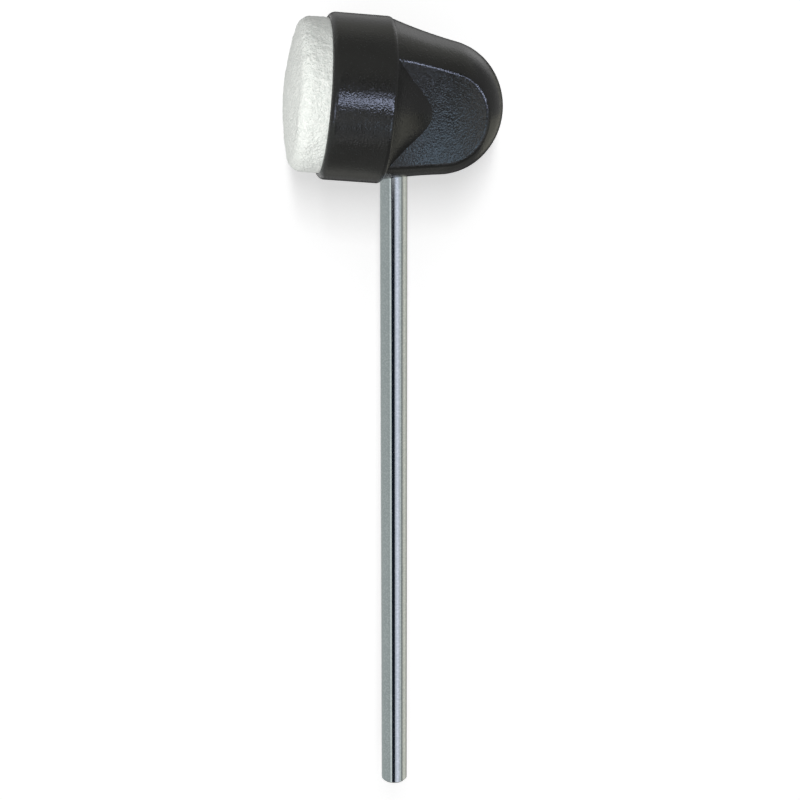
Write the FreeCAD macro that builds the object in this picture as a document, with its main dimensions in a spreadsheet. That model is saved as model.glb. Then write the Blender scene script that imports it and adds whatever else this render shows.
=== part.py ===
import FreeCAD, Part
import os
import Sketcher

# Bass drum beater with a two-way head: felt on one side, a hard moulded nose on the other.
# The rod stands along +Z. The felt faces -X and the nose +X. The origin is on the rod's axis,
# where its full-diameter grip wall starts. Lengths are millimetres, angles are degrees.

SIZES = [
    # Rod: a straight plated bar that a pedal's clamp grips, with a turned spigot inside the head
    ("rod_radius", 4.0),
    ("rod_tip_chamfer", 0.5),
    ("head_height", 221.7),
    ("spigot_radius", 3.25),
    ("spigot_chamfer", 0.5),
    ("spigot_recess", 1.0),
    ("groove_depth", 0.6),
    ("groove_width", 4.0),
    # Head: the cup's axis leans nose-down, and the nose droops a little more
    ("head_tilt", 6.2),
    ("nose_droop", 2.8),
    ("barrel_radius", 23.85),
    ("barrel_length", 17.8),
    ("barrel_lead", 2.8),
    ("rim_wall", 1.5),
    ("rim_fillet", 2.1),
    # Shoulder: a hollow-turned ramp from the barrel down to the side panels
    ("shoulder_radius", 31.8),
    ("shoulder_start_angle", 51.5),
    ("shoulder_end_angle", 12.0),
    ("shoulder_edge_radius", 1.5),
    # Nose: a slightly hollow flank, then a dome and a blunter tip
    ("nose_lead", 3.2),
    ("nose_root_depth", 6.0),
    ("nose_root_inset", 1.3),
    ("nose_sink", 0.25),
    ("flank_radius", 150.0),
    ("flank_start_angle", 16.3),
    ("flank_end_angle", 8.4),
    ("dome_radius", 18.0),
    ("dome_end_angle", 50.0),
    # Side panels: hollow-cut across the nose, deepest at their waist
    ("panel_waist", 19.7),
    ("panel_half_width", 13.7),
    ("panel_hollow_radius", 63.5),
    ("panel_crease_fillet", 1.8),
    # Inside of the cup
    ("seat_depth", 8.0),
    ("cavity_wall", 4.3),
    ("cavity_depth", 8.0),
    ("hub_boss_wall", 3.0),
    ("hub_boss_drop", 18.0),
    ("hub_boss_rise", 16.5),
    # Hub: a flanged steel bush, moulded into the casing, that the head is carried on
    ("hub_radius", 6.5),
    ("hub_drop", 17.0),
    ("hub_rise", 12.0),
    ("hub_flange_radius", 7.8),
    ("hub_flange_thickness", 2.0),
    ("hub_chamfer", 0.6),
    # Set screw: a socket grub screw with a dog point, reached from the side away from the camera
    ("set_screw_radius", 2.45),
    ("set_screw_length", 8.0),
    ("set_screw_point_radius", 1.6),
    ("set_screw_point_length", 1.2),
    ("set_screw_chamfer", 0.4),
    ("set_screw_key_flats", 2.5),
    ("set_screw_key_depth", 3.0),
    ("access_radius", 2.75),
    # Backing disc and its screws
    ("disc_thickness", 2.5),
    ("screw_circle_inset", 4.0),
    ("screw_first_angle", 45.0),
    ("screw_radius", 1.5),
    ("screw_head_radius", 2.9),
    ("screw_length", 10.0),
    ("screw_point_length", 1.5),
    ("screw_point_radius", 0.4),
    ("screw_slot_width", 0.8),
    ("screw_slot_depth", 0.7),
    ("screw_boss_radius", 3.2),
    ("screw_pilot_spare", 0.6),
    # Felt
    ("glue_thickness", 0.3),
    ("glue_margin", 0.8),
    ("felt_proud", 8.5),
    ("felt_crown", 2.3),
    ("felt_edge_radius", 3.8),
    # Clearances and the overrun of every cut
    ("running_clearance", 0.04),
    ("rod_hole_clearance", 0.65),
    ("hub_fit_clearance", 0.03),
    ("thread_clearance", 0.05),
    ("point_clearance", 0.1),
    ("thrust_clearance", 0.1),
    ("disc_clearance", 0.15),
    ("cut_overrun", 2.0),
]

SCREW_COUNT = 4
HEX_SIDES = 6

# Places along the head's axis, measured from the rod's axis
BARREL_END = "(-Sizes.barrel_lead)"
NOSE_PIVOT = "(-Sizes.nose_lead)"
RIM = "(-Sizes.barrel_lead - Sizes.barrel_length)"
SEAT = f"({RIM} + Sizes.seat_depth)"
CAVITY_FLOOR = f"({SEAT} + Sizes.cavity_depth)"
DISC_FRONT = f"({SEAT} - Sizes.disc_thickness)"
FELT_BACK = f"({DISC_FRONT} - Sizes.glue_thickness)"

# Radii about the head's axis
SEAT_RADIUS = "(Sizes.barrel_radius - Sizes.rim_wall)"
CAVITY_RADIUS = "(Sizes.barrel_radius - Sizes.cavity_wall)"
DISC_RADIUS = f"({SEAT_RADIUS} - Sizes.disc_clearance)"
SCREW_CIRCLE = f"({CAVITY_RADIUS} - Sizes.screw_circle_inset)"

# Heights along the rod's axis, measured from the head's centre
HUB_FOOT = "(-Sizes.hub_drop)"
FLANGE_TOP = f"({HUB_FOOT} + Sizes.hub_flange_thickness)"

doc = FreeCAD.newDocument("bass_drum_beater")
sheet = doc.addObject("Spreadsheet::Sheet", "Sizes")
for row, (alias, number) in enumerate(SIZES, start=1):
    sheet.set(f"A{row}", alias)
    sheet.set(f"B{row}", str(number))
    sheet.setAlias(f"B{row}", alias)
doc.recompute()


def value(expression):
    """The number that an expression over the sheet gives."""
    found = sheet.evalExpression(expression.replace("Sizes.", ""))
    return float(getattr(found, "Value", found))


def new_body(name):
    body = doc.addObject("PartDesign::Body", name)
    body.Label = name
    return body


def lean_with_head(feature):
    """Place a piece that is modelled about the head's own axis."""
    lean = FreeCAD.Rotation(FreeCAD.Vector(0, 1, 0), value("Sizes.head_tilt"))
    feature.Placement = FreeCAD.Placement(FreeCAD.Vector(0, 0, value("Sizes.head_height")), lean)
    feature.setExpression("Placement.Base.z", "Sizes.head_height")
    feature.setExpression("Placement.Rotation.Angle", "Sizes.head_tilt")


def raise_to_head(body):
    """Place a piece that is modelled about the rod's axis from the head's centre."""
    body.setExpression("Placement.Base.z", "Sizes.head_height")


def sketch_on(body, name, role, shift=None, turn=None):
    """A sketch on one of the body's own planes, shifted and turned within it."""
    plane = next(item for item in body.Origin.OriginFeatures if item.Role == role)
    sketch = body.newObject("Sketcher::SketchObject", name)
    sketch.AttachmentSupport = [(plane, "")]
    sketch.MapMode = "FlatFace"
    for letter, expression in (shift or {}).items():
        sketch.setExpression(f"AttachmentOffset.Base.{letter}", expression)
    if turn:
        rotation = FreeCAD.Rotation(FreeCAD.Vector(0, 0, 1), value(turn))
        sketch.AttachmentOffset = FreeCAD.Placement(FreeCAD.Vector(), rotation)
        sketch.setExpression("AttachmentOffset.Rotation.Angle", turn)
    return sketch


def bind(sketch, constraint, expression):
    index = sketch.addConstraint(constraint)
    sketch.setExpression(f"Constraints[{index}]", expression)


def pin_corner(sketch, edge, end, corner):
    """Tie one end of an edge to its place, given as a pair of expressions."""
    for kind, axis, expression in (("DistanceX", -2, corner[0]), ("DistanceY", -1, corner[1])):
        if expression == "0":
            sketch.addConstraint(Sketcher.Constraint("PointOnObject", edge, end, axis))
        else:
            bind(sketch, Sketcher.Constraint(kind, -1, 1, edge, end, value(expression)), expression)


def arc_between(start, end, radius, left):
    """The short arc from start to end, with its centre on the left or right of that way."""
    chord = end - start
    middle = (start + end) / 2
    side = FreeCAD.Vector(-chord.y, chord.x, 0).normalize()
    reach = (radius ** 2 - (chord.Length / 2) ** 2) ** 0.5
    centre = middle + side * (reach if left else -reach)
    circle = Part.Circle(centre, FreeCAD.Vector(0, 0, 1), radius)
    first, last = (start, end) if left else (end, start)
    return Part.ArcOfCircle(circle, circle.parameter(first), circle.parameter(last))


def outline(sketch, corners, arcs=None):
    """Close a loop through the corners. arcs gives the edges, counted by their first corner, that
    are round: the radius, and whether the centre is on the left of the way along the loop."""
    arcs = arcs or {}
    places = [FreeCAD.Vector(value(across), value(along), 0) for across, along in corners]
    ends = []
    for number, corner in enumerate(places):
        following = places[(number + 1) % len(places)]
        if number in arcs:
            radius, left = arcs[number]
            edge = sketch.addGeometry(arc_between(corner, following, value(radius), left))
            ends.append((edge, 1, 2) if left else (edge, 2, 1))
        else:
            edge = sketch.addGeometry(Part.LineSegment(corner, following))
            ends.append((edge, 1, 2))
    for number, (edge, start, _) in enumerate(ends):
        previous, _, finish = ends[number - 1]
        sketch.addConstraint(Sketcher.Constraint("Coincident", previous, finish, edge, start))
        pin_corner(sketch, edge, start, corners[number])
    for number, (radius, _) in arcs.items():
        bind(sketch, Sketcher.Constraint("Radius", ends[number][0], value(radius)), radius)


def round_hole(sketch, radius, place=("0", "0")):
    centre = FreeCAD.Vector(value(place[0]), value(place[1]), 0)
    circle = sketch.addGeometry(Part.Circle(centre, FreeCAD.Vector(0, 0, 1), value(radius)))
    bind(sketch, Sketcher.Constraint("Radius", circle, value(radius)), radius)
    pin_corner(sketch, circle, 3, place)


def turned(body, kind, name, sketch, axis):
    """A Revolution or Groove of a sketch about one of its own axes."""
    feature = body.newObject(f"PartDesign::{kind}", name)
    feature.Profile = sketch
    feature.ReferenceAxis = (sketch, [axis])
    feature.Angle = 360
    sketch.Visibility = False
    doc.recompute()
    return feature


def straight(body, kind, name, sketch, length, reverse=False):
    """A Pad or Pocket of a sketch."""
    feature = body.newObject(f"PartDesign::{kind}", name)
    feature.Profile = sketch
    feature.setExpression("Length", length)
    feature.Reversed = reverse
    doc.recompute()
    return feature


def edges_of(feature, wanted):
    return [f"Edge{number}" for number, edge in enumerate(feature.Shape.Edges, start=1) if wanted(edge)]


def ease(body, kind, name, feature, edges, size):
    """A Fillet or Chamfer of some edges of the feature before it."""
    eased = body.newObject(f"PartDesign::{kind}", name)
    eased.Base = (feature, edges)
    eased.setExpression("Radius" if kind == "Fillet" else "Size", size)
    doc.recompute()
    return eased


def screw_places():
    """Places of the backing screws across the head's axis, as pairs of expressions."""
    for number in range(SCREW_COUNT):
        turn = f"(Sizes.screw_first_angle + {360 * number // SCREW_COUNT})"
        yield f"{SCREW_CIRCLE} * cos({turn})", f"{SCREW_CIRCLE} * sin({turn})"


def make_rod():
    body = new_body("beater_rod")
    shoulder = "(Sizes.head_height - Sizes.hub_drop - Sizes.thrust_clearance)"
    top = "(Sizes.head_height + Sizes.hub_rise - Sizes.spigot_recess)"
    groove_floor = "(Sizes.spigot_radius - Sizes.groove_depth)"
    groove_foot = "(Sizes.head_height - Sizes.groove_width / 2)"
    groove_top = "(Sizes.head_height + Sizes.groove_width / 2)"
    sketch = sketch_on(body, "rod_outline", "XZ_Plane")
    outline(sketch, [
        ("0", "-Sizes.rod_tip_chamfer"),
        ("Sizes.rod_radius - Sizes.rod_tip_chamfer", "-Sizes.rod_tip_chamfer"),
        ("Sizes.rod_radius", "0"),
        ("Sizes.rod_radius", shoulder),
        ("Sizes.spigot_radius", shoulder),
        ("Sizes.spigot_radius", groove_foot),
        (groove_floor, groove_foot),
        (groove_floor, groove_top),
        ("Sizes.spigot_radius", groove_top),
        ("Sizes.spigot_radius", f"{top} - Sizes.spigot_chamfer"),
        ("Sizes.spigot_radius - Sizes.spigot_chamfer", top),
        ("0", top),
    ])
    turned(body, "Revolution", "rod_bar", sketch, "V_Axis")
    return body


def add_nose(body):
    """The bullet nose, with its two panels and their soft creases."""
    pivot = {"x": NOSE_PIVOT}
    root = "(-Sizes.nose_root_depth)"
    start, finish, last = "Sizes.flank_start_angle", "Sizes.flank_end_angle", "Sizes.dome_end_angle"
    root_radius = "(Sizes.barrel_radius - Sizes.nose_sink)"
    flank_x = f"(-{root_radius} * sin(Sizes.nose_droop))"
    flank_r = f"({root_radius} * cos(Sizes.nose_droop))"
    dome_x = f"({flank_x} + Sizes.flank_radius * (sin({start}) - sin({finish})))"
    dome_r = f"({flank_r} - Sizes.flank_radius * (cos({finish}) - cos({start})))"
    tip_x = f"({dome_x} + Sizes.dome_radius * (sin({last}) - sin({finish})))"
    tip_r = f"({dome_r} - Sizes.dome_radius * (cos({finish}) - cos({last})))"
    tip_radius = f"({tip_r} / cos({last}))"
    end_x = f"({tip_x} + {tip_radius} * (1 - sin({last})))"
    nose = sketch_on(body, "nose_outline", "XZ_Plane", pivot, "-Sizes.nose_droop")
    outline(nose, [
        (root, "0"),
        (root, "Sizes.barrel_radius - Sizes.nose_root_inset"),
        (flank_x, flank_r),
        (dome_x, dome_r),
        (tip_x, tip_r),
        (end_x, "0"),
    ], {2: ("Sizes.flank_radius", True), 3: ("Sizes.dome_radius", False), 4: (tip_radius, False)})
    turned(body, "Revolution", "nose_dome", nose, "H_Axis")

    outer = "(Sizes.barrel_radius + Sizes.cut_overrun)"
    cutter_y = "(Sizes.panel_half_width + Sizes.panel_hollow_radius)"
    above = {"x": NOSE_PIVOT, "z": outer}
    for name, way in (("near_panel", "-"), ("far_panel", "")):
        sketch = sketch_on(body, f"{name}_outline", "XY_Plane", above)
        round_hole(sketch, "Sizes.panel_hollow_radius", ("Sizes.panel_waist", f"{way}{cutter_y}"))
        cut = straight(body, "Pocket", name, sketch, f"2 * {outer}")

    cutter_x = value(f"{NOSE_PIVOT} + Sizes.panel_waist")
    touch = value("Sizes.running_clearance")

    def on_crease(edge):
        if edge.Degenerated:
            return False
        middle = edge.valueAt((edge.FirstParameter + edge.LastParameter) / 2)
        if nose.Placement.inverse().multVec(middle).x < value(root) + touch:
            return False
        from_cutter = FreeCAD.Vector(middle.x - cutter_x, abs(middle.y) - value(cutter_y), 0)
        return abs(from_cutter.Length - value("Sizes.panel_hollow_radius")) < touch

    ease(body, "Fillet", "panel_creases", cut, edges_of(cut, on_crease), "Sizes.panel_crease_fillet")


def add_barrel(body):
    """The round cup and the hollow shoulder behind it, with both outer edges rounded."""
    start, finish = "Sizes.shoulder_start_angle", "Sizes.shoulder_end_angle"
    round_x = f"({BARREL_END} - Sizes.shoulder_edge_radius * tan({start} / 2))"
    ramp_x = f"({round_x} + Sizes.shoulder_edge_radius * sin({start}))"
    ramp_r = f"(Sizes.barrel_radius - Sizes.shoulder_edge_radius * (1 - cos({start})))"
    shoulder_x = f"({ramp_x} + Sizes.shoulder_radius * (sin({start}) - sin({finish})))"
    shoulder_r = f"({ramp_r} - Sizes.shoulder_radius * (cos({finish}) - cos({start})))"
    sketch = sketch_on(body, "barrel_outline", "XZ_Plane")
    outline(sketch, [
        (RIM, "0"),
        (RIM, "Sizes.barrel_radius"),
        (round_x, "Sizes.barrel_radius"),
        (ramp_x, ramp_r),
        (shoulder_x, shoulder_r),
        (shoulder_x, "0"),
    ], {2: ("Sizes.shoulder_edge_radius", False), 3: ("Sizes.shoulder_radius", True)})
    barrel = turned(body, "Revolution", "barrel", sketch, "H_Axis")
    rim_x = value(RIM)

    def on_rim(edge):
        off_rim = abs(edge.BoundBox.XMin - rim_x) + abs(edge.BoundBox.XMax - rim_x)
        return off_rim < value("Sizes.running_clearance")

    ease(body, "Fillet", "rim_edge", barrel, edges_of(barrel, on_rim), "Sizes.rim_fillet")


def hollow_cup(body):
    """The felt's seat and the cored space behind the disc, with the bosses that stand in it."""
    sketch = sketch_on(body, "cup_outline", "XZ_Plane")
    outline(sketch, [
        (f"{RIM} - Sizes.cut_overrun", "0"),
        (f"{RIM} - Sizes.cut_overrun", SEAT_RADIUS),
        (SEAT, SEAT_RADIUS),
        (SEAT, CAVITY_RADIUS),
        (CAVITY_FLOOR, CAVITY_RADIUS),
        (CAVITY_FLOOR, "0"),
    ])
    turned(body, "Groove", "cup", sketch, "H_Axis")

    boss_radius = "Sizes.hub_radius + Sizes.hub_boss_wall"
    sketch = sketch_on(body, "hub_boss_outline", "XZ_Plane", turn="Sizes.head_tilt")
    outline(sketch, [
        ("0", "-Sizes.hub_boss_drop"),
        (boss_radius, "-Sizes.hub_boss_drop"),
        (boss_radius, "Sizes.hub_boss_rise"),
        ("0", "Sizes.hub_boss_rise"),
    ])
    turned(body, "Revolution", "hub_boss", sketch, "V_Axis")

    sketch = sketch_on(body, "screw_boss_outline", "YZ_Plane", {"z": SEAT})
    for place in screw_places():
        round_hole(sketch, "Sizes.screw_boss_radius", place)
    straight(body, "Pad", "screw_bosses", sketch, "Sizes.cavity_depth + Sizes.running_clearance")

    sketch = sketch_on(body, "pilot_outline", "YZ_Plane", {"z": SEAT})
    for place in screw_places():
        round_hole(sketch, "Sizes.screw_radius + Sizes.thread_clearance", place)
    pilot_depth = "Sizes.screw_length - Sizes.disc_thickness + Sizes.screw_pilot_spare"
    straight(body, "Pocket", "pilot_holes", sketch, pilot_depth, reverse=True)


def bore_for_hub(body):
    """The hub's pocket, the rod's hole below it, and the hole that a key reaches through."""
    below = "(-Sizes.barrel_radius - Sizes.cut_overrun)"
    rod_hole = "(Sizes.rod_radius + Sizes.rod_hole_clearance)"
    flange = "(Sizes.hub_flange_radius + Sizes.hub_fit_clearance)"
    wall = "(Sizes.hub_radius + Sizes.hub_fit_clearance)"
    roof = "(Sizes.hub_rise + Sizes.hub_fit_clearance)"
    sketch = sketch_on(body, "hub_bore_outline", "XZ_Plane", turn="Sizes.head_tilt")
    outline(sketch, [
        ("0", below),
        (rod_hole, below),
        (rod_hole, HUB_FOOT),
        (flange, HUB_FOOT),
        (flange, FLANGE_TOP),
        (wall, FLANGE_TOP),
        (wall, roof),
        ("0", roof),
    ])
    turned(body, "Groove", "hub_bore", sketch, "V_Axis")
    sketch = sketch_on(body, "key_hole_outline", "XZ_Plane")
    round_hole(sketch, "Sizes.access_radius")
    straight(body, "Pocket", "key_hole", sketch, "Sizes.barrel_radius + Sizes.cut_overrun")


def make_casing():
    body = new_body("head_casing")
    add_nose(body)
    add_barrel(body)
    hollow_cup(body)
    bore_for_hub(body)
    lean_with_head(body)
    return body


def make_hub():
    body = new_body("rod_hub")
    bore = "(Sizes.spigot_radius + Sizes.running_clearance)"
    sketch = sketch_on(body, "hub_outline", "XZ_Plane")
    outline(sketch, [
        (bore, HUB_FOOT),
        ("Sizes.hub_flange_radius", HUB_FOOT),
        ("Sizes.hub_flange_radius", FLANGE_TOP),
        ("Sizes.hub_radius", FLANGE_TOP),
        ("Sizes.hub_radius", "Sizes.hub_rise - Sizes.hub_chamfer"),
        ("Sizes.hub_radius - Sizes.hub_chamfer", "Sizes.hub_rise"),
        (bore, "Sizes.hub_rise"),
    ])
    turned(body, "Revolution", "hub_bush", sketch, "V_Axis")
    sketch = sketch_on(body, "tapped_hole_outline", "XZ_Plane")
    round_hole(sketch, "Sizes.set_screw_radius + Sizes.thread_clearance")
    straight(body, "Pocket", "tapped_hole", sketch, "Sizes.hub_radius + Sizes.cut_overrun")
    raise_to_head(body)
    return body


def make_set_screw():
    """A grub screw along its own Z, then laid along +Y with its point in the rod's groove."""
    body = new_body("set_screw")
    thread_foot = "(Sizes.set_screw_point_length + Sizes.set_screw_chamfer)"
    sketch = sketch_on(body, "grub_outline", "XZ_Plane")
    outline(sketch, [
        ("0", "0"),
        ("Sizes.set_screw_point_radius", "0"),
        ("Sizes.set_screw_point_radius", "Sizes.set_screw_point_length"),
        ("Sizes.set_screw_radius - Sizes.set_screw_chamfer", "Sizes.set_screw_point_length"),
        ("Sizes.set_screw_radius", thread_foot),
        ("Sizes.set_screw_radius", "Sizes.set_screw_length - Sizes.set_screw_chamfer"),
        ("Sizes.set_screw_radius - Sizes.set_screw_chamfer", "Sizes.set_screw_length"),
        ("0", "Sizes.set_screw_length"),
    ])
    turned(body, "Revolution", "grub", sketch, "V_Axis")
    corner = "Sizes.set_screw_key_flats / (2 * cos(30))"
    sketch = sketch_on(body, "key_outline", "XY_Plane", {"z": "Sizes.set_screw_length"})
    turns = [360 * number // HEX_SIDES + 30 for number in range(HEX_SIDES)]
    outline(sketch, [(f"{corner} * cos({turn})", f"{corner} * sin({turn})") for turn in turns])
    straight(body, "Pocket", "key_socket", sketch, "Sizes.set_screw_key_depth")
    outward = FreeCAD.Rotation(FreeCAD.Vector(1, 0, 0), -90)
    body.Placement = FreeCAD.Placement(FreeCAD.Vector(), outward)
    groove_floor = "Sizes.spigot_radius - Sizes.groove_depth"
    body.setExpression("Placement.Base.y", f"{groove_floor} + Sizes.point_clearance")
    raise_to_head(body)
    return body


def make_disc():
    body = new_body("backing_disc")
    sketch = sketch_on(body, "disc_outline", "XZ_Plane")
    outline(sketch, [(DISC_FRONT, "0"), (DISC_FRONT, DISC_RADIUS), (SEAT, DISC_RADIUS), (SEAT, "0")])
    turned(body, "Revolution", "disc", sketch, "H_Axis")
    hole = "Sizes.screw_radius + Sizes.disc_clearance"
    sketch = sketch_on(body, "disc_holes_outline", "YZ_Plane", {"z": SEAT})
    for place in screw_places():
        round_hole(sketch, hole, place)
    holes = straight(body, "Pocket", "disc_holes", sketch, "Sizes.disc_thickness + Sizes.cut_overrun")
    front_x = value(DISC_FRONT)
    widest = value(f"2 * ({hole} + Sizes.running_clearance)")

    def at_mouth(edge):
        box = edge.BoundBox
        return abs(box.XMax - front_x) < value("Sizes.running_clearance") and box.YLength < widest

    sink = "Sizes.screw_head_radius - Sizes.screw_radius"
    ease(body, "Chamfer", "countersinks", holes, edges_of(holes, at_mouth), sink)
    lean_with_head(body)
    return body


def make_backing_screws():
    """Countersunk screws through the disc into the casing's bosses."""
    body = new_body("backing_screws")
    body.AllowCompound = True
    point = f"({DISC_FRONT} + Sizes.screw_length)"
    neck = f"({DISC_FRONT} + Sizes.screw_head_radius - Sizes.screw_radius)"
    across = f"{SCREW_CIRCLE} * cos(Sizes.screw_first_angle)"
    up = f"{SCREW_CIRCLE} * sin(Sizes.screw_first_angle)"
    sketch = sketch_on(body, "screw_outline", "XZ_Plane", {"y": up, "z": across})
    outline(sketch, [
        (DISC_FRONT, "0"),
        (DISC_FRONT, "Sizes.screw_head_radius"),
        (neck, "Sizes.screw_radius"),
        (f"{point} - Sizes.screw_point_length", "Sizes.screw_radius"),
        (point, "Sizes.screw_point_radius"),
        (point, "0"),
    ])
    screw = turned(body, "Revolution", "screw", sketch, "H_Axis")
    slot_half = "(Sizes.screw_slot_width / 2)"
    slot_side = {"y": up, "z": f"{across} + Sizes.screw_head_radius"}
    sketch = sketch_on(body, "slot_outline", "XZ_Plane", slot_side)
    outline(sketch, [
        (f"{DISC_FRONT} - Sizes.cut_overrun", f"-{slot_half}"),
        (f"{DISC_FRONT} + Sizes.screw_slot_depth", f"-{slot_half}"),
        (f"{DISC_FRONT} + Sizes.screw_slot_depth", slot_half),
        (f"{DISC_FRONT} - Sizes.cut_overrun", slot_half),
    ])
    slot = straight(body, "Pocket", "driver_slot", sketch, "2 * Sizes.screw_head_radius")
    ring = body.newObject("PartDesign::PolarPattern", "screw_ring")
    ring.Originals = [screw, slot]
    ring.Axis = (next(item for item in body.Origin.OriginFeatures if item.Role == "X_Axis"), [""])
    ring.Angle = 360
    ring.Occurrences = SCREW_COUNT
    body.Tip = ring
    doc.recompute()
    lean_with_head(body)
    return body


def make_glue():
    body = new_body("felt_glue_layer")
    edge = f"{DISC_RADIUS} - Sizes.glue_margin"
    sketch = sketch_on(body, "glue_outline", "XZ_Plane")
    outline(sketch, [(FELT_BACK, "0"), (FELT_BACK, edge), (DISC_FRONT, edge), (DISC_FRONT, "0")])
    turned(body, "Revolution", "glue_film", sketch, "H_Axis")
    lean_with_head(body)
    return body


def make_felt():
    """A pressed felt disc with a rounded edge and a slightly crowned face."""
    body = new_body("felt_pad")
    face = f"({RIM} - Sizes.felt_proud)"
    flat_radius = f"({DISC_RADIUS} - Sizes.felt_edge_radius)"
    crown_radius = f"(({flat_radius} ^ 2 + Sizes.felt_crown ^ 2) / (2 * Sizes.felt_crown))"
    sketch = sketch_on(body, "felt_outline", "XZ_Plane")
    outline(sketch, [
        (FELT_BACK, "0"),
        (f"{face} - Sizes.felt_crown", "0"),
        (face, flat_radius),
        (f"{face} + Sizes.felt_edge_radius", DISC_RADIUS),
        (FELT_BACK, DISC_RADIUS),
    ], {1: (crown_radius, False), 2: ("Sizes.felt_edge_radius", False)})
    turned(body, "Revolution", "felt", sketch, "H_Axis")
    lean_with_head(body)
    return body


pieces = [
    make_rod(),
    make_casing(),
    make_hub(),
    make_set_screw(),
    make_disc(),
    make_backing_screws(),
    make_glue(),
    make_felt(),
]
doc.recompute()

for item in doc.Objects:
    if "Invalid" in item.State or "Error" in item.State:
        raise RuntimeError(f"{item.Label} failed: {item.State}")
for piece in pieces:
    if piece.Shape.isNull() or not piece.Shape.isValid():
        raise RuntimeError(f"{piece.Label} has no valid shape")

os.makedirs("parts", exist_ok=True)
for piece in pieces:
    piece.Shape.exportStep(f"parts/{piece.Label}.step")
    box = piece.Shape.BoundBox
    print(f"{piece.Label}: {len(piece.Shape.Solids)} solid(s), volume {piece.Shape.Volume:.1f} mm3,"
          f" x {box.XMin:.2f} to {box.XMax:.2f}, y {box.YMin:.2f} to {box.YMax:.2f},"
          f" z {box.ZMin:.2f} to {box.ZMax:.2f}")
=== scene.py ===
import math

import bpy
from mathutils import Matrix, Vector


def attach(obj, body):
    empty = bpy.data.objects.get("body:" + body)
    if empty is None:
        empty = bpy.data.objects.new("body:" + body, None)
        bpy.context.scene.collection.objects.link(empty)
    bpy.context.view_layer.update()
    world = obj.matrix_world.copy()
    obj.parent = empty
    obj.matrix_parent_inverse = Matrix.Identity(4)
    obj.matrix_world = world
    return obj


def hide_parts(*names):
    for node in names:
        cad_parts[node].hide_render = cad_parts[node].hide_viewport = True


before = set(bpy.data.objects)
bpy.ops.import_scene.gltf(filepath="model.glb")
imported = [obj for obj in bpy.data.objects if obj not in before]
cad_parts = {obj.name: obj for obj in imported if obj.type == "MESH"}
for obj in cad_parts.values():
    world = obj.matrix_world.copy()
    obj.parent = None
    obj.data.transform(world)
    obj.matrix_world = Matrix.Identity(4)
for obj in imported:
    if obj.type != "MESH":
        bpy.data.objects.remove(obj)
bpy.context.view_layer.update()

# Bass drum beater: a plated rod, a black moulded head and a pressed felt disc. The frame is the
# CAD model's: +Z along the rod, the felt towards -X, the hard nose towards +X, in metres.

HEAD_CENTRE = Vector((0.0, 0.0, 0.2217))
HEAD_TILT = math.radians(6.2)
BARREL_RADIUS = 0.02385

# The felt disc: places along the head's axis, and sizes about it
FELT_RADIUS = 0.0221
FELT_BACK = -0.0154
FELT_FACE = -0.0291
FELT_EDGE_ROUND = 0.0038
FELT_CROWN = 0.0023
RIM_PLACE = -0.0206

# How finely the felt is modelled, and the relief of its skin outside the cup
FELT_SIDES = 144
FELT_EDGE_STEPS = 10
FELT_RINGS = 7
LAST_RING_SHARE = 0.96
ROUND_PROFILE = 0.5
SAME_PLACE = 1e-6
FACES_FORWARD = 0.9
SKIN_VOXEL = 0.00042
SKIN_SOFTENING = 0.5
SKIN_PASSES = 6
RIM_FADE = 0.0012
RELIEF_MIDDLE = 0.5
RELIEFS = (  # name, width of a lump, octaves, height
    ("lumps", 0.0042, 2, 0.00042),
    ("nap", 0.0011, 3, 0.00030),
)


def deselect_all():
    if bpy.context.object and bpy.context.object.mode != "OBJECT":
        bpy.ops.object.mode_set(mode="OBJECT")
    bpy.ops.object.select_all(action="DESELECT")


def take_up(piece):
    """Make one piece the only selected and active object."""
    deselect_all()
    piece.select_set(True)
    bpy.context.view_layer.objects.active = piece


def pick_edges(piece, wanted):
    """Select, in edit mode, the edges whose two ends pass a test."""
    bpy.ops.mesh.select_mode(type="EDGE")
    bpy.ops.mesh.select_all(action="DESELECT")
    bpy.ops.object.mode_set(mode="OBJECT")
    points = piece.data.vertices
    for edge in piece.data.edges:
        edge.select = all(wanted(points[end].co) for end in edge.vertices)
    bpy.ops.object.mode_set(mode="EDIT")


def pick_faces(piece, wanted):
    """Select, in edit mode, the faces whose centre and normal pass a test."""
    bpy.ops.mesh.select_mode(type="FACE")
    bpy.ops.mesh.select_all(action="DESELECT")
    bpy.ops.object.mode_set(mode="OBJECT")
    for face in piece.data.polygons:
        face.select = wanted(face.center, face.normal)
    bpy.ops.object.mode_set(mode="EDIT")


def apply_modifier(piece, kind, name, **settings):
    take_up(piece)
    modifier = piece.modifiers.new(name, kind)
    for key, setting in settings.items():
        setattr(modifier, key, setting)
    bpy.ops.object.modifier_apply(modifier=name)


def set_in_cup(piece):
    """Turn a piece modelled along +Z from the felt's back so that it faces out of the cup."""
    lean = Matrix.Rotation(HEAD_TILT - math.pi / 2, 4, "Y")
    along = Vector((math.cos(HEAD_TILT), 0.0, -math.sin(HEAD_TILT)))
    piece.matrix_world = Matrix.Translation(HEAD_CENTRE + FELT_BACK * along) @ lean
    take_up(piece)
    bpy.ops.object.transform_apply(location=True, rotation=True, scale=True)


# Felt disc

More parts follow.
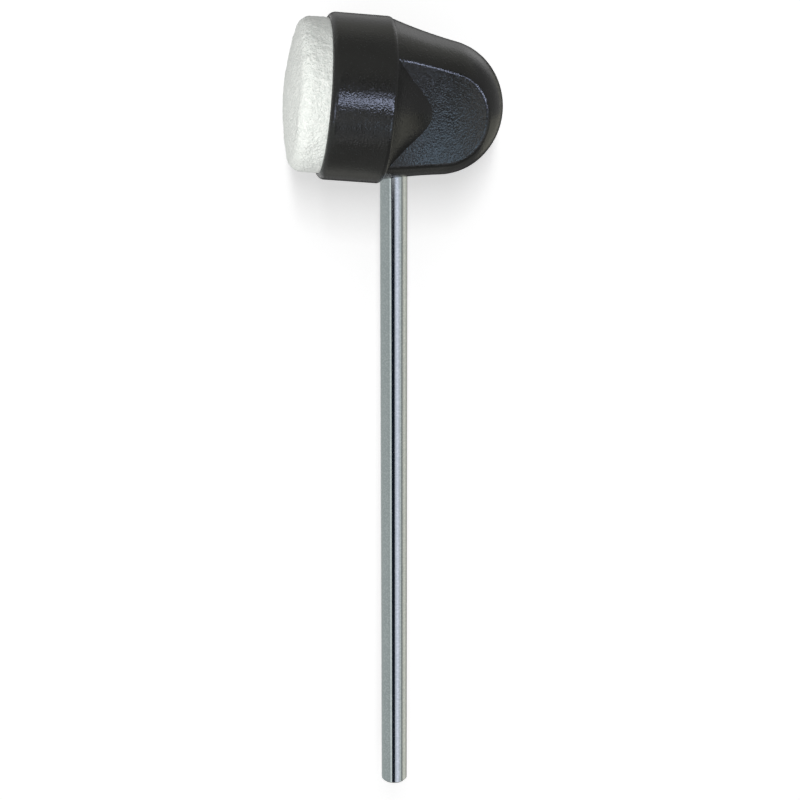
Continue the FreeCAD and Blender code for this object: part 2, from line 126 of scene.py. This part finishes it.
def turn_blank(depth):
    """A disc with a rounded front edge, left in edit mode."""
    deselect_all()
    bpy.ops.mesh.primitive_cylinder_add(vertices=FELT_SIDES, radius=FELT_RADIUS, depth=depth,
                                        location=(0.0, 0.0, depth / 2))
    felt = bpy.context.object
    felt.name = "felt_disc"
    felt.data.name = "felt_disc"
    bpy.ops.object.transform_apply(location=True, rotation=True, scale=True)
    bpy.ops.object.mode_set(mode="EDIT")
    pick_edges(felt, lambda point: point.z > depth - SAME_PLACE)
    bpy.ops.mesh.bevel(offset=FELT_EDGE_ROUND, segments=FELT_EDGE_STEPS, profile=ROUND_PROFILE,
                       affect="EDGES")
    return felt


def crown_at(radius, reach):
    """Height of the crowned face above its edge, at a radius within its reach."""
    sphere = (reach ** 2 + FELT_CROWN ** 2) / (2 * FELT_CROWN)
    return math.sqrt(sphere ** 2 - radius ** 2) - math.sqrt(sphere ** 2 - reach ** 2)


def crown_face(felt, depth):
    """Raise the flat front into a crown, ring by ring."""
    pick_faces(felt, lambda centre, normal: (centre.z > depth - SAME_PLACE
                                             and normal.z > FACES_FORWARD))
    reach = FELT_RADIUS - FELT_EDGE_ROUND
    for ring in range(FELT_RINGS):
        width = LAST_RING_SHARE if ring == FELT_RINGS - 1 else 1
        outer = reach * (1 - ring / FELT_RINGS)
        inner = reach * (1 - (ring + width) / FELT_RINGS)
        bpy.ops.mesh.inset(thickness=outer - inner, depth=0.0)
        rise = crown_at(inner, reach) - crown_at(outer, reach)
        bpy.ops.transform.translate(value=(0.0, 0.0, rise))
    bpy.ops.object.mode_set(mode="OBJECT")


def mat_skin(felt):
    """Mesh the felt evenly, then give it lumps and a nap where it shows outside the cup."""
    apply_modifier(felt, "REMESH", "even_skin", mode="VOXEL", voxel_size=SKIN_VOXEL)
    apply_modifier(felt, "SMOOTH", "soft_skin", factor=SKIN_SOFTENING, iterations=SKIN_PASSES)
    shown = felt.vertex_groups.new(name="shown")
    mouth = FELT_BACK - RIM_PLACE
    for point in felt.data.vertices:
        weight = min(max((point.co.z - mouth) / RIM_FADE, 0.0), 1.0)
        shown.add([point.index], weight, "REPLACE")
    for name, width, octaves, height in RELIEFS:
        clouds = bpy.data.textures.new(f"felt_{name}", "CLOUDS")
        clouds.noise_scale = width
        clouds.noise_depth = octaves
        apply_modifier(felt, "DISPLACE", name, texture=clouds, texture_coords="LOCAL",
                       mid_level=RELIEF_MIDDLE, strength=height, vertex_group="shown")


def model_felt():
    """A pressed disc: a turned blank with a rounded edge, a crowned face and a matted skin."""
    depth = FELT_BACK - FELT_FACE
    felt = turn_blank(depth)
    crown_face(felt, depth)
    mat_skin(felt)
    set_in_cup(felt)
    bpy.ops.object.shade_smooth()
    return felt


# Nodes, and the node groups that more than one finish uses

NOISE_SPAN = (0.3, 0.7)  # most of a noise texture's values lie between these
RISE, FALL = (0.0, 1.0), (1.0, 0.0)
COARSE_SCALE_SHARE = 0.28
SPECK_EDGE = 0.07


def new_group(name, inputs, outputs):
    """A shader node group with named sockets; inputs give each socket's type and first value."""
    group = bpy.data.node_groups.new(name, "ShaderNodeTree")
    for socket, (kind, first) in inputs.items():
        made = group.interface.new_socket(name=socket, in_out="INPUT", socket_type=kind)
        if first is not None:
            made.default_value = first
    for socket, kind in outputs.items():
        group.interface.new_socket(name=socket, in_out="OUTPUT", socket_type=kind)
    entry = group.nodes.new("NodeGroupInput")
    leaving = group.nodes.new("NodeGroupOutput")
    return group, entry.outputs, leaving.inputs


def add_node(tree, kind, label, **settings):
    node = tree.nodes.new(kind)
    node.label = label
    for key, setting in settings.items():
        setattr(node, key, setting)
    return node


def supply(tree, socket, source):
    """Give a socket a plain number, or link another node's output to it."""
    if isinstance(source, (int, float)):
        socket.default_value = source
    else:
        tree.links.new(source, socket)


def noise_node(tree, label, vector, scale, detail, roughness, distortion=0.0):
    noise = add_node(tree, "ShaderNodeTexNoise", label)
    tree.links.new(vector, noise.inputs["Vector"])
    for socket, source in (("Scale", scale), ("Detail", detail), ("Roughness", roughness),
                           ("Distortion", distortion)):
        supply(tree, noise.inputs[socket], source)
    return noise.outputs["Fac"]


def math_node(tree, label, operation, first, second):
    node = add_node(tree, "ShaderNodeMath", label, operation=operation)
    supply(tree, node.inputs[0], first)
    supply(tree, node.inputs[1], second)
    return node.outputs[0]


def product(tree, label, *factors):
    """All the factors multiplied together."""
    result = factors[0]
    for factor in factors[1:]:
        result = math_node(tree, label, "MULTIPLY", result, factor)
    return result


def range_node(tree, label, source, span, ends):
    """The source's span drawn out to two ends, and clamped to them."""
    node = add_node(tree, "ShaderNodeMapRange", label)
    for socket, given in (("Value", source), ("From Min", span[0]), ("From Max", span[1]),
                          ("To Min", ends[0]), ("To Max", ends[1])):
        supply(tree, node.inputs[socket], given)
    return node.outputs[0]


def build_drift_group():
    """A slow, cloudy change of value over a surface, between two ends."""
    group, given, result = new_group("surface_drift", {
        "Vector": ("NodeSocketVector", None),
        "Scale": ("NodeSocketFloat", 60.0),
        "Low": ("NodeSocketFloat", 0.0),
        "High": ("NodeSocketFloat", 1.0),
    }, {"Value": "NodeSocketFloat"})
    broad = noise_node(group, "broad clouds", given["Vector"], given["Scale"], detail=4.0,
                       roughness=0.6, distortion=0.4)
    drift = range_node(group, "to the two ends", broad, NOISE_SPAN, (given["Low"], given["High"]))
    group.links.new(drift, result["Value"])
    return group


def build_grain_group():
    """Fine moulded or matted grain: a height for bump and a mask of its high spots."""
    group, given, result = new_group("fine_grain", {
        "Vector": ("NodeSocketVector", None),
        "Scale": ("NodeSocketFloat", 1500.0),
        "Detail": ("NodeSocketFloat", 3.0),
        "Coarse Share": ("NodeSocketFloat", 0.4),
        "Speck Level": ("NodeSocketFloat", 0.68),
    }, {"Height": "NodeSocketFloat", "Specks": "NodeSocketFloat"})
    fine = noise_node(group, "fine grain", given["Vector"], given["Scale"], given["Detail"],
                      roughness=0.62)
    coarse_scale = product(group, "coarser scale", given["Scale"], COARSE_SCALE_SHARE)
    coarse = noise_node(group, "coarse grain", given["Vector"], coarse_scale, detail=2.0,
                        roughness=0.5, distortion=0.6)
    part = product(group, "coarse part", coarse, given["Coarse Share"])
    group.links.new(math_node(group, "height", "ADD", fine, part), result["Height"])
    speck_top = math_node(group, "speck top", "ADD", given["Speck Level"], SPECK_EDGE)
    specks = range_node(group, "specks", fine, (given["Speck Level"], speck_top), RISE)
    group.links.new(specks, result["Specks"])
    return group


def build_streak_group():
    """Fine lines drawn out along one axis, as on drawn or turned bar."""
    group, given, result = new_group("drawn_streaks", {
        "Vector": ("NodeSocketVector", None),
        "Across": ("NodeSocketFloat", 2600.0),
        "Along": ("NodeSocketFloat", 14.0),
    }, {"Lines": "NodeSocketFloat"})
    stretch = add_node(group, "ShaderNodeCombineXYZ", "stretch")
    for axis, source in (("X", "Across"), ("Y", "Across"), ("Z", "Along")):
        group.links.new(given[source], stretch.inputs[axis])
    scaled = add_node(group, "ShaderNodeVectorMath", "stretched place", operation="MULTIPLY")
    group.links.new(given["Vector"], scaled.inputs[0])
    group.links.new(stretch.outputs[0], scaled.inputs[1])
    lines = noise_node(group, "lines", scaled.outputs[0], scale=1.0, detail=4.0, roughness=0.6)
    group.links.new(lines, result["Lines"])
    return group


SURFACE_DRIFT = build_drift_group()
FINE_GRAIN = build_grain_group()
DRAWN_STREAKS = build_streak_group()


# Finishes

class Finish:
    """A material, its Principled shader, its place on the piece, and short ways to add to it."""

    def __init__(self, name, **constants):
        self.material = bpy.data.materials.new(name)
        self.material.use_nodes = True
        self.tree = self.material.node_tree
        self.shader = self.tree.nodes["Principled BSDF"]
        coordinates = add_node(self.tree, "ShaderNodeTexCoord", "place on the piece")
        self.place = coordinates.outputs["Object"]
        for socket, number in constants.items():
            self.shader.inputs[socket.replace("_", " ")].default_value = number

    def group(self, tree, label, **values):
        """Place a node group; the values go to its sockets of the same names."""
        node = add_node(self.tree, "ShaderNodeGroup", label, node_tree=tree)
        self.tree.links.new(self.place, node.inputs["Vector"])
        for socket, number in values.items():
            node.inputs[socket.replace("_", " ")].default_value = number
        return node.outputs

    def drift(self, label, **values):
        return self.group(SURFACE_DRIFT, label, **values)["Value"]

    def lines(self, label, across, along):
        return self.group(DRAWN_STREAKS, label, Across=across, Along=along)["Lines"]

    def blend(self, label, share, first, second):
        """A colour between two, each a colour value or another node's output."""
        mix = add_node(self.tree, "ShaderNodeMix", label, data_type="RGBA")
        self.tree.links.new(share, mix.inputs["Factor"])
        for socket, colour in ((mix.inputs[6], first), (mix.inputs[7], second)):
            if isinstance(colour, tuple):
                socket.default_value = (*colour, 1.0)
            else:
                self.tree.links.new(colour, socket)
        return mix.outputs[2]

    def feed(self, socket, source):
        self.tree.links.new(source, self.shader.inputs[socket])

    def gloss_along(self, lines, low, high):
        """Let the roughness follow drawn lines, between two ends."""
        gloss = range_node(self.tree, "gloss along lines", lines, NOISE_SPAN, (low, high))
        self.feed("Roughness", gloss)

    def bump(self, height, strength, distance):
        bump = add_node(self.tree, "ShaderNodeBump", "surface relief")
        bump.inputs["Strength"].default_value = strength
        bump.inputs["Distance"].default_value = distance
        self.tree.links.new(height, bump.inputs["Height"])
        self.feed("Normal", bump.outputs["Normal"])


def finish_moulding():
    """Semi-gloss black moulding with a fine grain, pale specks of dust and a drifting gloss."""
    finish = Finish("black_moulding_finish", IOR=1.5)
    grain = finish.group(FINE_GRAIN, "moulded grain", Scale=2000.0, Detail=0.8, Coarse_Share=0.06,
                         Speck_Level=0.66)
    tone = finish.drift("tone", Scale=85.0)
    black = finish.blend("black", tone, (0.0125, 0.0128, 0.0125), (0.0175, 0.0180, 0.0177))
    dusty = finish.blend("dusty specks", grain["Specks"], black, (0.026, 0.028, 0.030))
    finish.feed("Base Color", dusty)
    finish.feed("Roughness", finish.drift("gloss", Scale=900.0, Low=0.10, High=0.22))
    finish.bump(grain["Height"], strength=0.8, distance=0.00009)
    return finish.material


def finish_rod():
    """Bright plating over drawn bar: faint lines along the rod and a slight drift of gloss."""
    finish = Finish("plated_rod_finish", Metallic=1.0)
    lines = finish.lines("drawn lines", across=2600.0, along=14.0)
    grain = finish.group(FINE_GRAIN, "plating grain", Scale=1700.0, Detail=1.0, Coarse_Share=0.4,
                         Speck_Level=0.5)
    tone = finish.drift("plating tone", Scale=45.0)
    plating = finish.blend("plating", tone, (0.655, 0.70, 0.74), (0.71, 0.755, 0.795))
    bright = finish.blend("bright grains", grain["Specks"], plating, (0.77, 0.81, 0.85))
    finish.feed("Base Color", bright)
    finish.gloss_along(lines, low=0.04, high=0.09)
    finish.bump(lines, strength=0.06, distance=0.00002)
    return finish.material


def finish_felt():
    """Pale pressed wool: cloudy tone, a matted nap and a soft sheen."""
    finish = Finish("pressed_felt_finish", Roughness=0.95, Specular_IOR_Level=0.15,
                    Sheen_Weight=0.35, Sheen_Roughness=0.6)
    grain = finish.group(FINE_GRAIN, "matted nap", Scale=1500.0, Detail=1.0, Coarse_Share=0.5,
                         Speck_Level=0.54)
    tone = finish.drift("wool tone", Scale=900.0)
    wool = finish.blend("wool", tone, (0.775, 0.82, 0.785), (0.945, 0.975, 0.945))
    fibres = finish.blend("pale fibres", grain["Specks"], wool, (0.95, 0.975, 0.94))
    finish.feed("Base Color", fibres)
    finish.bump(grain["Height"], strength=1.0, distance=0.0004)
    return finish.material


def finish_steel(name, dark, light, low, high):
    """Turned steel with fine lines; its colour drifts between two, its roughness too."""
    finish = Finish(name, Metallic=1.0)
    lines = finish.lines("turning lines", across=1800.0, along=1800.0)
    tone = finish.drift("steel tone", Scale=120.0)
    finish.feed("Base Color", finish.blend("steel", tone, dark, light))
    finish.gloss_along(lines, low, high)
    finish.bump(lines, strength=0.15, distance=0.00003)
    return finish.material


def finish_plain(name, dark, light, low, high, scale):
    """A grained plastic or dried adhesive; its colour drifts between two, its roughness too."""
    finish = Finish(name)
    grain = finish.group(FINE_GRAIN, "grain", Scale=scale, Coarse_Share=0.5, Speck_Level=0.7)
    tone = finish.drift("tone", Scale=110.0)
    finish.feed("Base Color", finish.blend("colour", tone, dark, light))
    finish.feed("Roughness", finish.drift("gloss", Scale=160.0, Low=low, High=high))
    finish.bump(grain["Height"], strength=0.2, distance=0.0001)
    return finish.material


def dress(node, material):
    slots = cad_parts[node].data.materials
    slots.clear()
    slots.append(material)


# Stage: a white sheet behind the beater, reflector cards, lamps and camera. Angles about the
# rod's axis are in degrees, from the -Y side that the camera is on towards +X.

AIR_LIGHT = (0.21, 0.21, 0.21, 1.0)
AIR_SEEN = (1.0, 1.0, 1.0, 1.0)

SHEET_SIZE = 1.2
SHEET_LEAN = math.atan(0.25)
SHEET_GAP = 0.0062
SHEET_PAPER = (0.88, 0.88, 0.88, 1.0)
SHEET_GLOW = 0.515

RING_SIDES = 96
RING_RADIUS = 1.6
RING_HEIGHT = 3.0

# Cards on the ring: the angle that each starts at, its level and its tint
GREY = (1.0, 1.0, 1.0)
GREEN = (1.0, 1.07, 1.02)
LILAC = (1.0, 1.03, 1.13)
STRAW = (1.0, 0.99, 0.85)
NAVY = (0.6, 1.0, 1.6)
CARDS = (
    (-180, 0.06, GREY),
    (-174, 0.72, GREY),
    (-160, 0.39, GREEN),
    (-60, 0.37, GREEN),
    (-41, 0.68, GREEN),
    (-27, 0.01, NAVY),
    (1, 0.45, LILAC),
    (8, 0.58, LILAC),
    (16, 0.78, LILAC),
    (33, 0.62, LILAC),
    (44, 0.52, GREEN),
    (63, 0.12, GREEN),
    (73, 0.48, STRAW),
    (85, 0.66, STRAW),
    (115, 0.50, STRAW),
    (146, 0.06, GREY),
)

# Soft edges on the ring, each from where it starts to where it ends: heights, depths along Y and
# places across along X in metres from the ring's centre, and angles
CARD_FOOT_HEIGHT = (-1.12, -1.04)
CARD_TOP_HEIGHT = (-0.27, -0.22)
BACK_CARD_DEPTH = (1.20, 1.25)
BACK_CARD_TOP_HEIGHT = (0.30, 0.36)
BACK_WALL_DEPTH = (0.9, 1.3)
BACK_WALL_HEIGHT = (0.2, 0.8)
BACK_WALL_ACROSS = (0.5, 0.9)
SCREEN_LEFT_ANGLE = (-22, -14)
SCREEN_RIGHT_ANGLE = (-3, 6)
SCREEN_TOP_HEIGHT = (-0.08, 0.0)
PATCH_LEFT_ANGLE = (8, 12)
PATCH_RIGHT_ANGLE = (30, 40)
CORNER_ACROSS = (0.15, 0.35)
CORNER_TOP_HEIGHT = (-1.1, -0.9)

# Levels of the ring's wall above and below the cards
WALL_LEVEL = 0.31
BACK_WALL_LEVELS = (0.24, 0.86)
SCREEN_LEVEL = 1.2
PATCH_DEPTH = 0.26
CORNER_DEPTH = 0.15

# Ceiling and floor: height, level on the camera side, in the middle and on the far side, and
# the share of it that is left to the right
DIM_CARDS = (
    ("dim_ceiling", RING_HEIGHT / 2, 0.30, 0.56, 0.56, 1.0),
    ("dim_floor", -RING_HEIGHT / 2, 0.25, 0.46, 0.20, 0.45),
)
DIM_TINT = (1.0, 1.0, 0.93, 1.0)
NEAR_TO_MIDDLE_DEPTH = (0.1, 0.65)
MIDDLE_TO_FAR_DEPTH = (0.8, 1.3)
RIGHT_SHARE_ACROSS = (0.12, 0.35)

# Lamps: azimuth and elevation from the head, distance, width and height, radiance, colour
COLD = (0.64, 0.72, 1.0)
SEA = (0.48, 0.74, 1.0)
WARM = (1.0, 0.995, 0.98)
WHITE = (1.0, 1.0, 1.0)
GLOSS_LAMPS = (
    ("key_strip", (7.5, 9.5), 1.0, (0.45, 0.12), 10.4, COLD),
    ("crease_strip", (32, 1.5), 1.0, (0.40, 0.15), 13.0, COLD),
    ("rim_card", (-38, -3), 1.0, (0.36, 0.26), 4.0, COLD),
    ("panel_card", (17.6, -20.9), 0.145, (0.042, 0.013), 4.1, SEA),
)
PIECE_LAMPS = (
    ("key_soft_box", (9, 30), 2.4, (0.95, 0.95), 8.6, WARM),
    ("left_soft_box", (-50, -16), 2.6, (2.4, 2.0), 3.8, WARM),
)
SHEET_LAMPS = (
    ("sheet_box", (-6.5, 25.8), 6.0, (0.34, 1.60), 84.0, WHITE),
    ("sheet_sky", (-6.5, 39.2), 6.0, (2.60, 2.10), 3.9, WHITE),
)

CAMERA_PLACE = (-0.08040, -0.66634, 0.39442)
CAMERA_DIP = 21.537
CAMERA_TURN = -7.04
CAMERA_SENSOR = 36.0
CAMERA_LENS = 108.0
CAMERA_CLIP = (0.01, 20.0)


def rays_that_see(tree):
    """1 for the rays that look at the background: camera, glossy and transmitted ones."""
    path = add_node(tree, "ShaderNodeLightPath", "which ray")
    glossy = math_node(tree, "or glossy", "MAXIMUM", path.outputs["Is Camera Ray"],
                       path.outputs["Is Glossy Ray"])
    return math_node(tree, "or transmitted", "MAXIMUM", glossy,
                     path.outputs["Is Transmission Ray"])


def light_world():
    """Air that looks white and lights the piece only a little."""
    world = bpy.data.worlds.new("studio_air")
    bpy.context.scene.world = world
    world.use_nodes = True
    tree = world.node_tree
    mix = add_node(tree, "ShaderNodeMix", "seen or lit", data_type="RGBA")
    mix.inputs[6].default_value = AIR_LIGHT
    mix.inputs[7].default_value = AIR_SEEN
    tree.links.new(rays_that_see(tree), mix.inputs["Factor"])
    tree.links.new(mix.outputs[2], tree.nodes["Background"].inputs["Color"])


def bare_material(name):
    """A material with an empty node tree, its tree and the input for its surface."""
    material = bpy.data.materials.new(name)
    material.use_nodes = True
    tree = material.node_tree
    tree.nodes.clear()
    leaving = add_node(tree, "ShaderNodeOutputMaterial", "surface")
    return material, tree, leaving.inputs["Surface"]


def make_sheet_paper():
    """White paper that glows a little to the eye, and is clear from behind."""
    material, tree, surface = bare_material("backdrop_white")
    paper = add_node(tree, "ShaderNodeBsdfDiffuse", "white paper")
    paper.inputs["Color"].default_value = SHEET_PAPER
    glow = add_node(tree, "ShaderNodeEmission", "white to the eye")
    eye_level = product(tree, "eye level", rays_that_see(tree), SHEET_GLOW)
    tree.links.new(eye_level, glow.inputs["Strength"])
    both = add_node(tree, "ShaderNodeAddShader", "paper and glow")
    tree.links.new(paper.outputs[0], both.inputs[0])
    tree.links.new(glow.outputs[0], both.inputs[1])
    clear = add_node(tree, "ShaderNodeBsdfTransparent", "open from behind")
    side = add_node(tree, "ShaderNodeNewGeometry", "which side")
    choice = add_node(tree, "ShaderNodeMixShader", "front or back")
    tree.links.new(side.outputs["Backfacing"], choice.inputs[0])
    tree.links.new(both.outputs[0], choice.inputs[1])
    tree.links.new(clear.outputs[0], choice.inputs[2])
    tree.links.new(choice.outputs[0], surface)
    return material


def lean_sheet():
    """A sheet that the nose clears when the head turns, and that falls away below the head."""
    behind = (BARREL_RADIUS + SHEET_GAP) / math.cos(SHEET_LEAN)
    deselect_all()
    bpy.ops.mesh.primitive_plane_add(size=SHEET_SIZE,
                                     location=HEAD_CENTRE + Vector((0.0, behind, 0.0)),
                                     rotation=(math.pi / 2 + SHEET_LEAN, 0.0, 0.0))
    sheet = bpy.context.object
    sheet.name = "backdrop_sheet"
    sheet.data.materials.append(make_sheet_paper())
    sheet.visible_glossy = False
    sheet.visible_diffuse = False
    return sheet


def show_only_in_gloss(card):
    card.visible_camera = False
    card.visible_diffuse = False
    card.visible_shadow = False
    card.visible_transmission = False
    card.visible_volume_scatter = False


def place_on_stage(tree):
    """The place across, in depth and in height from the middle of a card."""
    parts = add_node(tree, "ShaderNodeSeparateXYZ", "parts")
    place = add_node(tree, "ShaderNodeTexCoord", "place").outputs["Object"]
    tree.links.new(place, parts.inputs[0])
    return parts.outputs["X"], parts.outputs["Y"], parts.outputs["Z"]


def angle_edge(tree, label, turn, degrees, ends):
    """A soft edge at an angle round the ring."""
    return range_node(tree, label, turn, [math.radians(angle) for angle in degrees], ends)


def card_colours(tree, turn):
    """The row of cards round the ring."""
    ramp = add_node(tree, "ShaderNodeValToRGB", "cards")
    whole_turn = range_node(tree, "share of a turn", turn, (-math.pi, math.pi), RISE)
    tree.links.new(whole_turn, ramp.inputs[0])
    ramp.color_ramp.interpolation = "CONSTANT"
    stops = ramp.color_ramp.elements
    while len(stops) < len(CARDS):
        stops.new(1.0)
    for stop, (degrees, level, tint) in zip(stops, CARDS):
        stop.position = (degrees + 180) / 360
        stop.color = (*(level * part for part in tint), 1.0)
    return ramp.outputs[0]


def card_band(tree, depth, height):
    """1 where the cards stand: a low band all round, which reaches higher behind."""
    foot = range_node(tree, "above the foot", height, CARD_FOOT_HEIGHT, RISE)
    top = range_node(tree, "below the top", height, CARD_TOP_HEIGHT, FALL)
    back_top = product(tree, "higher behind",
                       range_node(tree, "back cards", depth, BACK_CARD_DEPTH, RISE),
                       range_node(tree, "their top", height, BACK_CARD_TOP_HEIGHT, FALL))
    either_top = math_node(tree, "either top", "MAXIMUM", top, back_top)
    return product(tree, "in the card band", foot, either_top)


def wall_level(tree, turn, across, depth, height):
    """A grey wall, brighter behind, with a pale screen, a dark patch and a dark corner."""
    back = product(tree, "back wall",
                   range_node(tree, "far behind", depth, BACK_WALL_DEPTH, RISE),
                   range_node(tree, "above the bench", height, BACK_WALL_HEIGHT, RISE),
                   range_node(tree, "brighter right", across, BACK_WALL_ACROSS, BACK_WALL_LEVELS))
    screen = product(tree, "pale screen",
                     angle_edge(tree, "screen's left", turn, SCREEN_LEFT_ANGLE, RISE),
                     angle_edge(tree, "screen's right", turn, SCREEN_RIGHT_ANGLE, FALL),
                     range_node(tree, "screen's top", height, SCREEN_TOP_HEIGHT, FALL),
                     SCREEN_LEVEL)
    patch = product(tree, "dark patch",
                    angle_edge(tree, "patch's left", turn, PATCH_LEFT_ANGLE, RISE),
                    angle_edge(tree, "patch's right", turn, PATCH_RIGHT_ANGLE, FALL),
                    PATCH_DEPTH)
    corner = product(tree, "dark corner",
                     range_node(tree, "corner's left", across, CORNER_ACROSS, RISE),
                     range_node(tree, "corner's top", height, CORNER_TOP_HEIGHT, FALL),
                     CORNER_DEPTH)
    level = math_node(tree, "with the back wall", "ADD", back, WALL_LEVEL)
    level = math_node(tree, "with the screen", "ADD", level, screen)
    level = math_node(tree, "without the patch", "SUBTRACT", level, patch)
    return math_node(tree, "without the corner", "SUBTRACT", level, corner)


def make_ring_paint():
    """Cards on a grey wall."""
    material, tree, surface = bare_material("reflector_cards")
    across, depth, height = place_on_stage(tree)
    towards_camera = product(tree, "towards the camera", depth, -1.0)
    turn = math_node(tree, "angle from the camera side", "ARCTAN2", across, towards_camera)
    paint = add_node(tree, "ShaderNodeMix", "cards on a grey wall", data_type="RGBA")
    tree.links.new(card_band(tree, depth, height), paint.inputs["Factor"])
    tree.links.new(wall_level(tree, turn, across, depth, height), paint.inputs[6])
    tree.links.new(card_colours(tree, turn), paint.inputs[7])
    glow = add_node(tree, "ShaderNodeEmission", "glow")
    tree.links.new(paint.outputs[2], glow.inputs["Color"])
    tree.links.new(glow.outputs[0], surface)
    return material


def make_dim_paint(name, near, middle, far, right):
    """A level that changes from the camera side to the far side, and to the right."""
    material, tree, surface = bare_material(f"{name}_card")
    across, depth, _ = place_on_stage(tree)
    rise = range_node(tree, "near to middle", depth, NEAR_TO_MIDDLE_DEPTH, (near, middle))
    change = range_node(tree, "middle to far", depth, MIDDLE_TO_FAR_DEPTH, (0.0, far - middle))
    level = math_node(tree, "level", "ADD", rise, change)
    share = range_node(tree, "share to the right", across, RIGHT_SHARE_ACROSS, (1.0, right))
    glow = add_node(tree, "ShaderNodeEmission", "glow")
    glow.inputs["Color"].default_value = DIM_TINT
    tree.links.new(product(tree, "level across", level, share), glow.inputs["Strength"])
    tree.links.new(glow.outputs[0], surface)
    return material


def stand_reflectors():
    """A ring of cards, a dim ceiling and a dim floor, which only glossy surfaces see."""
    deselect_all()
    bpy.ops.mesh.primitive_cylinder_add(vertices=RING_SIDES, radius=RING_RADIUS,
                                        depth=RING_HEIGHT, end_fill_type="NOTHING",
                                        location=(0.0, 0.0, 0.0))
    ring = bpy.context.object
    ring.name = "reflector_ring"
    ring.data.materials.append(make_ring_paint())
    show_only_in_gloss(ring)
    for name, height, *levels in DIM_CARDS:
        deselect_all()
        bpy.ops.mesh.primitive_circle_add(vertices=RING_SIDES, radius=RING_RADIUS,
                                          fill_type="NGON", location=(0.0, 0.0, height))
        card = bpy.context.object
        card.name = name
        card.data.materials.append(make_dim_paint(name, *levels))
        show_only_in_gloss(card)


def from_angles(azimuth, elevation):
    """A direction from the head: azimuth from the -Y side to +X, elevation above the horizon."""
    turn, rise = math.radians(azimuth), math.radians(elevation)
    return Vector((math.sin(turn) * math.cos(rise), -math.cos(turn) * math.cos(rise),
                   math.sin(rise)))


def hang_lamp(name, angles, distance, size, radiance, colour, for_gloss):
    """A soft box that looks at the head's centre, and lights only gloss or all but gloss."""
    lamp = bpy.data.lights.new(name, "AREA")
    lamp.shape = "RECTANGLE"
    lamp.size, lamp.size_y = size
    lamp.energy = math.pi * radiance * size[0] * size[1]
    lamp.color = colour
    holder = bpy.data.objects.new(name, lamp)
    bpy.context.scene.collection.objects.link(holder)
    way = from_angles(*angles).normalized()
    holder.location = HEAD_CENTRE + way * distance
    holder.rotation_euler = way.to_track_quat("Z", "Y").to_euler()
    holder.visible_camera = False
    holder.visible_glossy = for_gloss
    holder.visible_diffuse = not for_gloss
    return holder


def keep_off(lamp, piece):
    """Let a lamp light everything but one piece."""
    unlit = bpy.data.collections.new(f"not_lit_by_{lamp.name}")
    unlit.objects.link(piece)
    unlit.collection_objects[0].light_linking.link_state = "EXCLUDE"
    lamp.light_linking.receiver_collection = unlit


def keep_to(lamp, piece):
    """Let a lamp light one piece alone."""
    lit = bpy.data.collections.new(f"lit_by_{lamp.name}")
    lit.objects.link(piece)
    lamp.light_linking.receiver_collection = lit


def hang_lamps(sheet):
    """Strips for the gloss, soft boxes for the beater alone, and lamps for the sheet alone."""
    for lamp in GLOSS_LAMPS:
        hang_lamp(*lamp, for_gloss=True)
    for lamp in PIECE_LAMPS:
        keep_off(hang_lamp(*lamp, for_gloss=False), sheet)
    for lamp in SHEET_LAMPS:
        keep_to(hang_lamp(*lamp, for_gloss=False), sheet)


def set_camera():
    camera = bpy.data.cameras.new("photo_camera")
    camera.sensor_width = CAMERA_SENSOR
    camera.lens = CAMERA_LENS
    camera.clip_start, camera.clip_end = CAMERA_CLIP
    holder = bpy.data.objects.new("photo_camera", camera)
    bpy.context.scene.collection.objects.link(holder)
    holder.location = CAMERA_PLACE
    holder.rotation_euler = (math.radians(90.0 - CAMERA_DIP), 0.0, math.radians(CAMERA_TURN))
    bpy.context.scene.camera = holder


felt = model_felt()
felt.data.materials.append(finish_felt())
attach(felt, "head")
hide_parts("felt_pad")

dress("beater_rod", finish_rod())
dress("head_casing", finish_moulding())
dress("rod_hub", finish_steel("hub_steel_finish", dark=(0.46, 0.46, 0.47),
                              light=(0.58, 0.58, 0.59), low=0.22, high=0.38))
dress("set_screw", finish_steel("screw_black_finish", dark=(0.045, 0.045, 0.05),
                                light=(0.08, 0.08, 0.085), low=0.35, high=0.55))
dress("backing_screws", finish_steel("screw_zinc_finish", dark=(0.52, 0.53, 0.55),
                                     light=(0.66, 0.66, 0.64), low=0.25, high=0.42))
dress("backing_disc", finish_plain("disc_plastic_finish", dark=(0.10, 0.10, 0.10),
                                   light=(0.14, 0.14, 0.14), low=0.45, high=0.6, scale=900.0))
dress("felt_glue_layer", finish_plain("glue_finish", dark=(0.55, 0.48, 0.32),
                                      light=(0.68, 0.61, 0.44), low=0.35, high=0.6, scale=500.0))

light_world()
backdrop = lean_sheet()
stand_reflectors()
hang_lamps(backdrop)
set_camera()
bpy.context.scene.view_settings.view_transform = "Standard"
